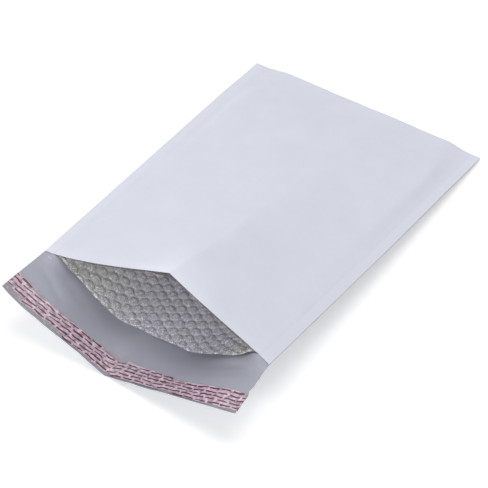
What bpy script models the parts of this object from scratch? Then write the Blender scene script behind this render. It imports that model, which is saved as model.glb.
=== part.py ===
"""An open bubble mailer that lies on its back, with its flap turned out and its front panel raised.

One sheet of poly film makes the back, the front and the flap. It is folded once at the bottom and
welded to itself along both sides. A folded sheet of bubble wrap lines the pocket. A strip of
adhesive under a peel-off liner runs along the cut edge of the flap.

Each sheet is laid out flat, as it is cut, and then folded by one rule, so that the sheets follow
each other. Across the sheet is s, zero at the middle. Along it is v, which runs from the flap's cut
edge over the back to the bottom fold and returns over the front to the mouth. Depth is measured
from the film's outer face towards the inside of the mailer. Metres, +Z up. The mailer is as long as
its flap and pocket in Y, with the mouth towards -Y.
"""

import math

import bmesh
import bpy
from mathutils import Vector

# The poly film.
FLAT_WIDTH = 0.241
SEAM_LENGTH = 0.340
FLAP_LENGTH = 0.0565
FILM_THICKNESS = 0.0003
SEAM_WIDTH = 0.011
WELD_THICKNESS = 0.0003

# The bubble lining.
LINING_SHEET = 0.0008
BUBBLE_HEIGHT = 0.00345
BUBBLE_DIAMETER = 0.0088
BUBBLE_TOP_DIAMETER = 0.0058
BUBBLE_PITCH = 0.0098
BUBBLE_FIRST_ROW = 0.0058
BUBBLE_SIDES = 6
BACK_BUBBLE_DEPTH = 0.070
FRONT_BUBBLE_DEPTH = 0.024
LINING_INSET = 0.004

# The adhesive on the flap and its liner, each from the flap's cut edge on.
ADHESIVE_MARGIN = 0.0025
ADHESIVE_WIDTH = 0.0175
ADHESIVE_THICKNESS = 0.0002
LINER_MARGIN = 0.001
LINER_WIDTH = 0.0205
LINER_THICKNESS = 0.0002

# How the opened mailer stands.
MOUTH_RISE = 0.0349
MOUTH_RISE_POWER = 1.08
MOUTH_TILT = 0.0026
MOUTH_PULL_IN = 0.0084
PULL_IN_POWER = 1.3
RIDGE_RISE = 0.0388
RIDGE_OFFSET = 0.0140
RIDGE_SETBACK = 0.005
RIDGE_FADE_POWER = 1.15
RIDGE_SOFTNESS = 0.5
LINING_RIDGE_SOFTNESS = 0.1
LEFT_LIMB_POWER = 1.2
RIGHT_LIMB_POWER = 1.09
TROUGH_HALF_WIDTH = 0.0355
SEAM_ROLL = 0.010
FOLD_FLATTENING = 0.0020
FOLD_REACH = 0.2
FLAP_CREASE_OFFSET = -0.012
FLAP_LEFT_RISE = 0.048
FLAP_RIGHT_RISE = 0.0357
FLAP_LEFT_PULL_IN = 0.0068
FLAP_RIGHT_PULL_IN = 0.0029
FLAP_LEFT_SAG = 0.0036
FLAP_SAG_POWER = 2.5
FLAP_CREST_REACH = 0.009

# Fits between the pieces, and the spacing of the facets.
CLEARANCE = 0.0003
WELD_SETBACK = 0.0005
PANEL_STEP = 0.011
ROLL_STEP = 0.0026
FLAP_STEP = 0.0105
LENGTH_STEP = 0.030
FOLD_STEP = 0.0027
DERIVATIVE_STEP = 0.0001

# Worked out from the sizes above.
HALF_WIDTH = FLAT_WIDTH / 2
WELD_EDGE = HALF_WIDTH - SEAM_WIDTH
LINING_EDGE = WELD_EDGE - LINING_INSET
PANEL_EDGE = WELD_EDGE - SEAM_ROLL
SEAM_HALF_THICKNESS = FILM_THICKNESS + WELD_THICKNESS / 2
LINING_DEPTH = FILM_THICKNESS + CLEARANCE
POCKET_HALF_THICKNESS = LINING_DEPTH + LINING_SHEET + BUBBLE_HEIGHT
FOLD_HALF_THICKNESS = POCKET_HALF_THICKNESS - FOLD_FLATTENING
FOLD_LENGTH = math.pi * FOLD_HALF_THICKNESS
BACK_END = FLAP_LENGTH + SEAM_LENGTH
FRONT_START = BACK_END + FOLD_LENGTH
SHEET_END = FRONT_START + SEAM_LENGTH
ADHESIVE_DEPTH = FILM_THICKNESS + CLEARANCE
LINER_DEPTH = ADHESIVE_DEPTH + ADHESIVE_THICKNESS + CLEARANCE
MIDDLE_Y = (SEAM_LENGTH + FOLD_HALF_THICKNESS - FLAP_LENGTH) / 2


def smooth(value):
    """An even S-curve from 0 to 1."""
    value = min(max(value, 0.0), 1.0)
    return value * value * (3 - 2 * value)


def openness_at(y):
    """1 at the mouth and 0 at the bottom fold."""
    return max(1 - y / SEAM_LENGTH, 0.0)


def plan_x(s, openness):
    """Where a point of the sheet lies in X: the open mouth draws the two sides in."""
    return s * (1 - MOUTH_PULL_IN * openness**PULL_IN_POWER / HALF_WIDTH)


def seam_grip(s):
    """1 on the welded seam, 0 where the panels are a whole lining apart."""
    return 1 - smooth((WELD_EDGE - abs(s)) / SEAM_ROLL)


def pocket_half(openness):
    """Half the distance between the panels' outer faces: less towards the pressed bottom fold."""
    return POCKET_HALF_THICKNESS - FOLD_FLATTENING * (1 - smooth(openness / FOLD_REACH))


def seam_rise(openness):
    """How far the open mouth lifts the seams: most at the mouth."""
    return MOUTH_RISE * openness**MOUTH_RISE_POWER


def seam_lean(s, openness):
    """The open mouth lifts the left seam a little more than the right one."""
    share = smooth((abs(s) - PANEL_EDGE) / (HALF_WIDTH - PANEL_EDGE))
    return -math.copysign(MOUTH_TILT, s) * openness * share


def tent(s, softness):
    """The raised front panel's section: 0 at the seams and highest at the ridge."""
    if s < RIDGE_OFFSET:
        away, power = (RIDGE_OFFSET - s) / (RIDGE_OFFSET + WELD_EDGE), LEFT_LIMB_POWER
    else:
        away, power = (s - RIDGE_OFFSET) / (WELD_EDGE - RIDGE_OFFSET), RIGHT_LIMB_POWER
    rise = 1 - math.hypot(min(away, 1.0), softness) / math.hypot(1.0, softness)
    return rise**power


def back_height(s, openness):
    """The back panel lies flat in the middle and rises to the seams in a trough."""
    trough = smooth((abs(s) - TROUGH_HALF_WIDTH) / (WELD_EDGE - TROUGH_HALF_WIDTH))
    seam_lift = (pocket_half(openness) - SEAM_HALF_THICKNESS) * seam_grip(s)
    return seam_rise(openness) * trough + seam_lift + seam_lean(s, openness)


def front_height(s, openness, softness):
    """The front panel stands on the seams and is raised to a ridge at the mouth."""
    half = pocket_half(openness)
    seam_height = half + seam_rise(openness) + seam_lean(s, openness)
    gap = half + (SEAM_HALF_THICKNESS - half) * seam_grip(s)
    return seam_height + gap + RIDGE_RISE * openness**RIDGE_FADE_POWER * tent(s, softness)


def back_point(s, y):
    openness = openness_at(y)
    return Vector((plan_x(s, openness), y, back_height(s, openness)))


def front_point(s, y, lining_softness):
    openness = openness_at(y)
    softness = RIDGE_SOFTNESS * max(1 - openness, 0.0) + lining_softness
    setback = RIDGE_SETBACK * openness * tent(s, softness)
    return Vector((plan_x(s, openness), y + setback, front_height(s, openness, softness)))


def fold_point(s, turn):
    """The bottom fold is half a turn round the lining's own thickness."""
    low = back_height(s, 0.0)
    radius = (front_height(s, 0.0, 0.0) - low) / 2
    height = low + radius * (1 - math.cos(turn))
    return Vector((plan_x(s, 0.0), SEAM_LENGTH + radius * math.sin(turn), height))


def flap_root(s, share):
    """The mouth's line as the flap leaves it: the seams' thick crest runs out within a short way."""
    root = back_point(s, 0.0)
    trough = smooth((abs(s) - TROUGH_HALF_WIDTH) / (HALF_WIDTH - TROUGH_HALF_WIDTH))
    plain = back_height(math.copysign(HALF_WIDTH, s), 1.0) * trough
    crest = 1 - smooth(share * FLAP_LENGTH / FLAP_CREST_REACH)
    root.z = plain + (root.z - plain) * crest
    return root


def flap_point(s, share):
    """The flap runs from the mouth's trough, at share 0, to the V of its cut edge, at share 1."""
    if s < FLAP_CREASE_OFFSET:
        limb, pull_in = HALF_WIDTH + FLAP_CREASE_OFFSET, FLAP_LEFT_PULL_IN
        rise, sag = FLAP_LEFT_RISE, FLAP_LEFT_SAG
    else:
        limb, pull_in = HALF_WIDTH - FLAP_CREASE_OFFSET, FLAP_RIGHT_PULL_IN
        rise, sag = FLAP_RIGHT_RISE, 0.0
    away = s - FLAP_CREASE_OFFSET
    x = FLAP_CREASE_OFFSET + away * (1 - pull_in / limb)
    part = min(abs(away) / limb, 1.0)
    z = rise * abs(away) / limb - sag * math.sin(math.pi * part**FLAP_SAG_POWER)
    return flap_root(s, share).lerp(Vector((x, -FLAP_LENGTH, z)), share)


def outer_point(s, v, lining_softness):
    """A point on the outer face of the folded film."""
    if v < FLAP_LENGTH:
        return flap_point(s, 1 - v / FLAP_LENGTH)
    if v < BACK_END:
        return back_point(s, v - FLAP_LENGTH)
    if v < FRONT_START:
        return fold_point(s, math.pi * (v - BACK_END) / FOLD_LENGTH)
    return front_point(s, SHEET_END - v, lining_softness)


def folded(s, v, depth, lining_softness=0.0):
    """A point of a folded sheet, in the mailer's own frame."""
    step = DERIVATIVE_STEP
    across = outer_point(s + step, v, lining_softness) - outer_point(s - step, v, lining_softness)
    along = outer_point(s, v + step, lining_softness) - outer_point(s, v - step, lining_softness)
    inward = across.cross(along).normalized()
    point = outer_point(s, v, lining_softness) + inward * depth
    return point - Vector((0, MIDDLE_Y, 0))


def stations(start, *spans):
    """Positions from start through the end of each span, at even steps no longer than the span's."""
    found = [start]
    for end, step in spans:
        count = max(1, math.ceil((end - start) / step))
        found += [start + (end - start) * n / count for n in range(1, count + 1)]
        start = end
    return found


def columns(edge):
    """Positions across a sheet that reaches to edge on both sides, with a line at each crease."""
    turns = sorted((-TROUGH_HALF_WIDTH, FLAP_CREASE_OFFSET, RIDGE_OFFSET, TROUGH_HALF_WIDTH))
    middle = [(turn, PANEL_STEP) for turn in turns] + [(PANEL_EDGE, PANEL_STEP)]
    inner = stations(-PANEL_EDGE, *middle)
    roll = stations(PANEL_EDGE, (WELD_EDGE, ROLL_STEP), (HALF_WIDTH, SEAM_WIDTH))
    outer = [s for s in roll[1:] if s < edge] + [edge]
    return [-s for s in reversed(outer)] + inner + outer


def flat_sheet(across, along, low, high):
    """A flat sheet from depth low to depth high, with its facets at the stations given."""
    bm = bmesh.new()
    bmesh.ops.create_grid(bm, x_segments=len(across) - 1, y_segments=len(along) - 1, size=0.5)
    for vertex in bm.verts:
        column = round((vertex.co.x + 0.5) * (len(across) - 1))
        row = round((vertex.co.y + 0.5) * (len(along) - 1))
        vertex.co = (across[column], along[row], low)
    lifted = bmesh.ops.extrude_face_region(bm, geom=bm.faces[:])
    top = [item for item in lifted["geom"] if isinstance(item, bmesh.types.BMVert)]
    bmesh.ops.translate(bm, verts=top, vec=(0, 0, high - low))
    bmesh.ops.recalc_face_normals(bm, faces=bm.faces[:])
    return bm


def fold(bm, lining_softness=0.0):
    """Folds a flat sheet, whose points hold s, v and depth."""
    for vertex in bm.verts:
        s, v, depth = vertex.co
        vertex.co = folded(s, v, depth, lining_softness)


def new_object(name, bm, collection):
    mesh = bpy.data.meshes.new(name)
    bm.to_mesh(mesh)
    bm.free()
    obj = bpy.data.objects.new(name, mesh)
    collection.objects.link(obj)
    return obj


def finish(obj, color, roughness, alpha=1.0):
    """Gives a sheet its own material, and smooth shading up to its folds."""
    material = bpy.data.materials.new(obj.name)
    material.use_nodes = True
    shader = material.node_tree.nodes["Principled BSDF"]
    shader.inputs["Base Color"].default_value = (*color, 1.0)
    shader.inputs["Roughness"].default_value = roughness
    shader.inputs["Metallic"].default_value = 0.0
    shader.inputs["Alpha"].default_value = alpha
    obj.data.materials.append(material)
    obj.data.shade_smooth()
    obj.data.set_sharp_from_angle(angle=math.radians(35))


def make_cutter(obj):
    obj.hide_render = True
    obj.display_type = "WIRE"


def union(obj, other):
    modifier = obj.modifiers.new("Join " + other.name, "BOOLEAN")
    modifier.operation = "UNION"
    modifier.solver = "EXACT"
    modifier.object = other


def make_weld(side, cutters):
    """The melted film between the front and the back panel, along one side."""
    across = [side * s for s in (WELD_EDGE, HALF_WIDTH - WELD_SETBACK)]
    along = stations(WELD_SETBACK, (SEAM_LENGTH, LENGTH_STEP))
    bm = flat_sheet(sorted(across), along, 0.0, 1.0)
    inside = FILM_THICKNESS / 2
    for vertex in bm.verts:
        s, y, upper = vertex.co
        v = SHEET_END - y if upper > 0.5 else FLAP_LENGTH + y
        vertex.co = folded(s, v, inside)
    weld = new_object("seam_weld_left" if side < 0 else "seam_weld_right", bm, cutters)
    make_cutter(weld)
    return weld


def make_outer_film(parts, cutters):
    along = stations(
        0.0,
        (LINER_MARGIN, FLAP_STEP),
        (LINER_MARGIN + LINER_WIDTH, FLAP_STEP),
        (FLAP_LENGTH, FLAP_STEP),
        (FLAP_LENGTH + WELD_SETBACK, LENGTH_STEP),
        (BACK_END, LENGTH_STEP),
        (FRONT_START, FOLD_STEP),
        (SHEET_END - WELD_SETBACK, LENGTH_STEP),
        (SHEET_END, LENGTH_STEP),
    )
    bm = flat_sheet(columns(HALF_WIDTH), along, 0.0, FILM_THICKNESS)
    fold(bm)
    film = new_object("outer_film", bm, parts)
    for side in (-1, 1):
        union(film, make_weld(side, cutters))
    finish(film, color=(0.80, 0.81, 0.86), roughness=0.4)


def bubble_places():
    """The middle of each bubble in flat sheet terms, in a hexagonal pattern from each mouth edge."""
    column_pitch = BUBBLE_PITCH * math.cos(math.radians(30))
    reach = int(PANEL_EDGE / column_pitch)
    for mouth, direction, deep in (
        (FLAP_LENGTH, 1, BACK_BUBBLE_DEPTH),
        (SHEET_END, -1, FRONT_BUBBLE_DEPTH),
    ):
        for column in range(-reach, reach + 1):
            first = BUBBLE_FIRST_ROW + (BUBBLE_PITCH / 2 if column % 2 else 0.0)
            for row in range(int((deep - first) / BUBBLE_PITCH) + 1):
                yield column * column_pitch, mouth + direction * (first + row * BUBBLE_PITCH)


def make_bubbles(cutters, sheet_top):
    """The bubbles of the flat lining, rooted in half the thickness of its sheet."""
    bm = bmesh.new()
    root = LINING_SHEET / 2
    for s, v in bubble_places():
        made = bmesh.ops.create_cone(
            bm, cap_ends=True, segments=BUBBLE_SIDES, radius1=BUBBLE_DIAMETER / 2,
            radius2=BUBBLE_TOP_DIAMETER / 2, depth=BUBBLE_HEIGHT + root,
        )
        middle = sheet_top + (BUBBLE_HEIGHT - root) / 2
        bmesh.ops.translate(bm, verts=made["verts"], vec=(s, v, middle))
    bubbles = new_object("bubbles", bm, cutters)
    make_cutter(bubbles)
    return bubbles


def make_bubble_lining(parts, cutters):
    along = stations(
        FLAP_LENGTH + WELD_SETBACK,
        (BACK_END, LENGTH_STEP),
        (FRONT_START, FOLD_STEP),
        (SHEET_END - WELD_SETBACK, LENGTH_STEP),
    )
    sheet_top = LINING_DEPTH + LINING_SHEET
    bm = flat_sheet(columns(LINING_EDGE), along, LINING_DEPTH, sheet_top)
    flat = new_object("flat_lining", bm, cutters)
    bubbles = make_bubbles(cutters, sheet_top)
    union(flat, bubbles)
    graph = bpy.context.evaluated_depsgraph_get()
    joined = bpy.data.meshes.new_from_object(flat.evaluated_get(graph))
    bm = bmesh.new()
    bm.from_mesh(joined)
    bpy.data.meshes.remove(joined)
    for helper in (flat, bubbles):
        bpy.data.objects.remove(helper)
    bmesh.ops.triangulate(bm, faces=bm.faces[:])
    fold(bm, LINING_RIDGE_SOFTNESS)
    lining = new_object("bubble_lining", bm, parts)
    finish(lining, color=(0.62, 0.64, 0.67), roughness=0.15, alpha=0.6)


def make_strip(name, margin, width, depth, thickness, parts):
    """A strip on the inside of the flap, along its cut edge."""
    along = stations(margin, (margin + width, FLAP_STEP))
    bm = flat_sheet(columns(HALF_WIDTH), along, depth, depth + thickness)
    fold(bm)
    return new_object(name, bm, parts)


def make_adhesive_strip(parts):
    strip = make_strip(
        "adhesive_strip", ADHESIVE_MARGIN, ADHESIVE_WIDTH, ADHESIVE_DEPTH, ADHESIVE_THICKNESS, parts
    )
    finish(strip, color=(0.55, 0.54, 0.52), roughness=0.2)


def make_release_liner(parts):
    liner = make_strip(
        "release_liner", LINER_MARGIN, LINER_WIDTH, LINER_DEPTH, LINER_THICKNESS, parts
    )
    finish(liner, color=(0.68, 0.42, 0.55), roughness=0.3)


def clear_scene():
    for obj in list(bpy.data.objects):
        bpy.data.objects.remove(obj)


def new_collection(name):
    collection = bpy.data.collections.new(name)
    bpy.context.scene.collection.children.link(collection)
    return collection


def main():
    clear_scene()
    parts = new_collection("bubble_mailer")
    cutters = new_collection("cutters")
    make_outer_film(parts, cutters)
    make_bubble_lining(parts, cutters)
    make_adhesive_strip(parts)
    make_release_liner(parts)


main()
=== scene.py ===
import math

import bpy
import numpy as np
from bpy.props import FloatProperty, FloatVectorProperty, PointerProperty
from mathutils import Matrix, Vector, noise


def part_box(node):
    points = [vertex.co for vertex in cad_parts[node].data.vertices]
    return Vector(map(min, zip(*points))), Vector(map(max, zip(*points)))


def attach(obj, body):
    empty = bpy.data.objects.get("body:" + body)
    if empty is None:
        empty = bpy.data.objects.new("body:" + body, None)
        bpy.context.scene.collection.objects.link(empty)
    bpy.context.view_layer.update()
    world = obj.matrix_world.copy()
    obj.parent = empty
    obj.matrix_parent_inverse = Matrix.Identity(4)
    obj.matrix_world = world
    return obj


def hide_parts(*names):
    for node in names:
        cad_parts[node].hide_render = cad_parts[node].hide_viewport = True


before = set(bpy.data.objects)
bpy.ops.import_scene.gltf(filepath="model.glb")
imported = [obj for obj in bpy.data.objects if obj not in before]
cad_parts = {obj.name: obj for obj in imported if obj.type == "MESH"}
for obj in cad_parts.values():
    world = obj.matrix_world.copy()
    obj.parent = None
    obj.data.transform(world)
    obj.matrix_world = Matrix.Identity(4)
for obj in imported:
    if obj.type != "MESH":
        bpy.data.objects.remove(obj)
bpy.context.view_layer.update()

bl_info = {
    "name": "Bubble Mailer",
    "version": (1, 0, 0),
    "blender": (4, 5, 0),
    "location": "3D View > Sidebar > Bubble Mailer",
    "description": "Dresses the packed bubble mailer with its film, bubbles and peel-off liner",
    "category": "Object",
}

# The film's own corners, as packed. Every sheet is laid out from them.
FILM_LOW, FILM_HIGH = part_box("outer_film")


def length(description, default):
    return FloatProperty(
        description=description, default=default, subtype="DISTANCE", unit="LENGTH", precision=5
    )


def share(description, default):
    return FloatProperty(description=description, default=default)


def color(description, default):
    return FloatVectorProperty(
        description=description, default=default, subtype="COLOR", size=3, min=0.0, max=1.0
    )


def named(group):
    """Gives each property of a group the name of its attribute, in plain words."""
    for attribute, made in group.__annotations__.items():
        made.keywords["name"] = attribute.replace("_", " ").capitalize()
    return group


@named
class MailerFold(bpy.types.PropertyGroup):
    """How the mailer's sheets are cut and how they stand"""

    width: length("Width of the flat mailer", FILM_HIGH.x - FILM_LOW.x)
    flap_length: length("From the mouth to the flap's cut edge", 0.0565)
    seam_width: length("Width of the welded side seams", 0.011)
    pocket_half: length("Half the thickness of the closed pocket", 0.00485)
    seam_half: length("Half the thickness of the welded seam", 0.0004)
    seam_roll: length("From the seam to where the panels are full", 0.010)
    mouth_roll: length("The same at the mouth", 0.018)
    fold_roll: length("The same at the bottom fold", 0.026)
    fold_flattening: length("How much thinner it makes half the pocket", 0.0020)
    fold_reach: share("Share of the pocket over which it does", 0.2)
    mouth_rise: length("How far the open mouth lifts the seams", 0.0349)
    rise_power: share("How the seams rise along the pocket", 1.12)
    mouth_tilt: length("How much more it lifts the left than the right", 0.0026)
    mouth_pull: length("How far the open mouth draws each side in", 0.0084)
    pull_power: share("How the sides are drawn in along the seam", 1.3)
    ridge_rise: length("Height of the front panel's ridge over the seams", 0.0388)
    ridge_offset: length("Where the ridge lies across the mouth", 0.0140)
    ridge_setback: length("How far the ridge draws the mouth's edge back", 0.005)
    ridge_fade: share("How quickly the ridge runs out towards the bottom", 1.15)
    ridge_softness: share("How round the ridge gets towards the bottom", 0.5)
    lining_softness: share("How much rounder the lining bends", 0.1)
    left_power: share("Bend of the front panel's left limb", 1.2)
    right_power: share("Bend of the front panel's right limb", 1.09)
    trough_flat: length("Half width of the back's flat middle", 0.0355)
    crest_reach: length("How far the welds' crest runs out into the flap", 0.009)
    flap_crease: length("Where the flap's crease lies", -0.012)
    flap_left_rise: length("Height of the flap's left corner", 0.048)
    flap_right_rise: length("Height of the flap's right corner", 0.0357)
    flap_left_pull: length("How far the left corner is drawn in", 0.0068)
    flap_right_pull: length("How far the right corner is drawn in", 0.0029)
    flap_left_sag: length("How far the left cut edge sags", 0.0036)
    flap_sag_power: share("How near to the corner it sags", 2.5)


@named
class MailerFilm(bpy.types.PropertyGroup):
    """The poly film"""

    thickness: length("Thickness of the film", 0.00015)
    step: length("Size of the film's facets", 0.0026)
    swell: length("Depth of the wide soft dents in the panels", 0.0008)
    ripple: length("Depth of the small puckers along the seams", 0.0003)
    band_inset: length("From the weld's inner edge to its pressed band", 0.0025)
    groove: length("Depth of the groove along each weld", 0.0002)
    crease: length("Depth of the flap's faint creases", 0.0005)
    cut_wave: length("How unevenly the flap's edge is cut", 0.0014)
    side_wave: length("How unevenly its right side is cut", 0.0028)
    outside: color("The white outside", (0.705, 0.725, 0.815))
    inside: color("The grey inside", (0.38, 0.39, 0.455))
    roughness: share("Roughness of the film", 0.42)
    clouding: share("How unevenly bright the film is", 0.08)
    pads: share("How strongly the bubbles behind the film show", 0.5)
    ribs: share("How strongly the weld's ribs show", 0.25)
    band_pale: share("How much paler the weld's pressed band is", 0.04)
    # Painted light: the front film's colour is made paler along the mouth and at the ridge's tip.
    edge_pale: share("How much paler the film is along the mouth", 0.05)
    edge_reach: length("How far from the mouth that shows", 0.016)
    tip_pale: share("How much paler it is at the ridge's tip", 0.13)
    tip_reach: length("How far from the mouth that shows", 0.06)
    tip_width: length("How far from the ridge that shows", 0.055)


@named
class MailerBubbles(bpy.types.PropertyGroup):
    """The bubble lining"""

    pitch: length("From one bubble to the next", 0.0098)
    diameter: length("Width of a bubble", 0.0091)
    height: length("Height of a bubble", 0.0021)
    sheet: length("Thickness of the lining between bubbles", 0.00012)
    depth: length("From the film's outer face to the lining", 0.0006)
    inset: length("From the side seams to the lining", 0.0015)
    fine_reach: length("How far into the mouth the bubbles are finely made", 0.105)
    front_inset: length("From the mouth's front edge to the lining", 0.001)
    # Painted glints: bright specks in the plastic's colour.
    glint: share("How bright the small glints of the creased plastic are", 0.45)
    # Painted light: the plastic's colour is made paler between the bubbles, where their shade
    # falls.
    gap_pale: share("How much paler the plastic is between the bubbles", 0.25)
    # Painted highlights: the plastic's colour is made paler on the bubbles' crowns.
    crown_pale: share("How much paler it is on their crowns", 0.30)
    # Painted glints: more of them along the cut edge.
    edge_glint: share("How much brighter they are along the cut edge", 0.9)
    # Painted shade: the lining's colour is made darker at the mouth's front edge.
    front_shade: share("How dark the lining is at the mouth's front edge", 0.45)
    edge_lift: length("How far the lining's cut edge stands off the flap", 0.0022)
    lift_place: length("Where across the mouth it stands off most", 0.046)
    lift_width: length("Half the width of that place", 0.03)
    lift_more: length("How much further it stands off there", 0.0045)
    crumple: share("How uneven the bubbles are", 0.14)
    warm_tint: color("Colour of the clear plastic at the mouth's ends", (0.97, 0.96, 0.94))
    cool_tint: color("Its colour in the middle", (0.93, 0.91, 0.98))
    alpha: share("Share of the light that it keeps where it faces the eye", 0.54)
    rim_alpha: share("How much more it keeps on the bubbles' sides", 0.22)
    roughness: share("Roughness of the plastic", 0.16)
    creasing: length("Depth of its fine creases", 0.0005)


@named
class MailerLiner(bpy.types.PropertyGroup):
    """The adhesive and its peel-off liner"""

    margin: length("From the cut edge to the liner", 0.001)
    width: length("Width of the liner", 0.0205)
    depth: length("From the film's outer face to the liner", 0.0009)
    thickness: length("Thickness of the liner", 0.00008)
    unevenness: length("How far the liner stands up in small waves", 0.0004)
    glue_margin: length("From the cut edge to the adhesive", 0.0025)
    glue_width: length("Width of the adhesive", 0.0175)
    glue_depth: length("From the film's outer face to the adhesive", 0.0005)
    glue_thickness: length("Thickness of the adhesive", 0.0002)
    crinkle: length("How far the liner stands up beside the flap's crease", 0.0018)
    crinkle_place: length("Where along the strip it does", 0.001)
    crinkle_reach: length("How far from there it does", 0.010)
    left_bare: length("How much wider the bare edge is on the left", 0.0028)
    wave: length("How far the rows wave from side to side", 0.0052)
    ripple: share("How far their small waves go beside the wide ones", 0.45)
    bold: length("Thickness of the thinnest dash", 0.0009)
    row_pitch: length("From one row of dashes to the next", 0.0040)
    dash_pitch: length("From one dash to the next", 0.0116)
    shortest: share("Share of the pitch that the shortest dash fills", 0.74)
    length_varies: share("How much more of it the longest dash fills", 0.20)
    slant: share("Rise of the rows for each unit along the strip", 0.055)
    film: color("Colour of the clear liner", (0.52, 0.47, 0.52))
    blush: color("Colour of the pink beside the dashes", (0.66, 0.50, 0.59))
    # Painted highlights: pale spots on the clear liner, more of them on the crinkle.
    fleck: color("Colour of the pale flecks", (0.82, 0.77, 0.82))
    fleck_cover: share("How much of what is under them they hide", 0.55)
    dash: color("Colour of the dashes", (0.14, 0.035, 0.08))
    glue: color("Colour of the adhesive", (0.40, 0.40, 0.41))
    alpha: share("Share of the light that the clear liner keeps", 0.38)
    print_alpha: share("How much more its print keeps", 0.6)
    roughness: share("Roughness of the liner", 0.22)
    relief: length("Depth of its fine creases", 0.0003)


@named
class MailerStage(bpy.types.PropertyGroup):
    """The floor, the lamps and the camera"""

    floor: color("Colour of the floor", (0.86, 0.86, 0.86))
    glow: share("How much whiter than that it looks to the camera", 0.30)
    world: share("Strength of the light from all round", 0.42)
    key: share("Power of the soft lamp over the mailer, in watts", 11.2)
    fill: share("Power of the lamp that shines into the mouth, in watts", 4.2)
    side: share("Power of the low lamp on the left, in watts", 11.0)
    rear: share("Power of the lamp behind on the right, in watts", 4.2)
    front: share("Power of the lamp in front on the right, in watts", 4.4)
    azimuth: share("The camera's direction, in degrees", 33.27)
    elevation: share("The camera's height, in degrees", 45.22)
    distance: length("From the camera to the mailer", 1.8578)
    lens: share("Focal length, in millimetres", 157.34)
    aim: FloatVectorProperty(
        description="The point that the camera looks at", size=3, precision=5,
        default=(0.00022, FILM_LOW.y + 0.19042, 0.0), subtype="TRANSLATION",
    )


def smooth(value, low=0.0, high=1.0):
    """An even S-curve from 0 at low to 1 at high."""
    value = np.clip((value - low) / (high - low), 0.0, 1.0)
    return value * value * (3 - 2 * value)


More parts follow.
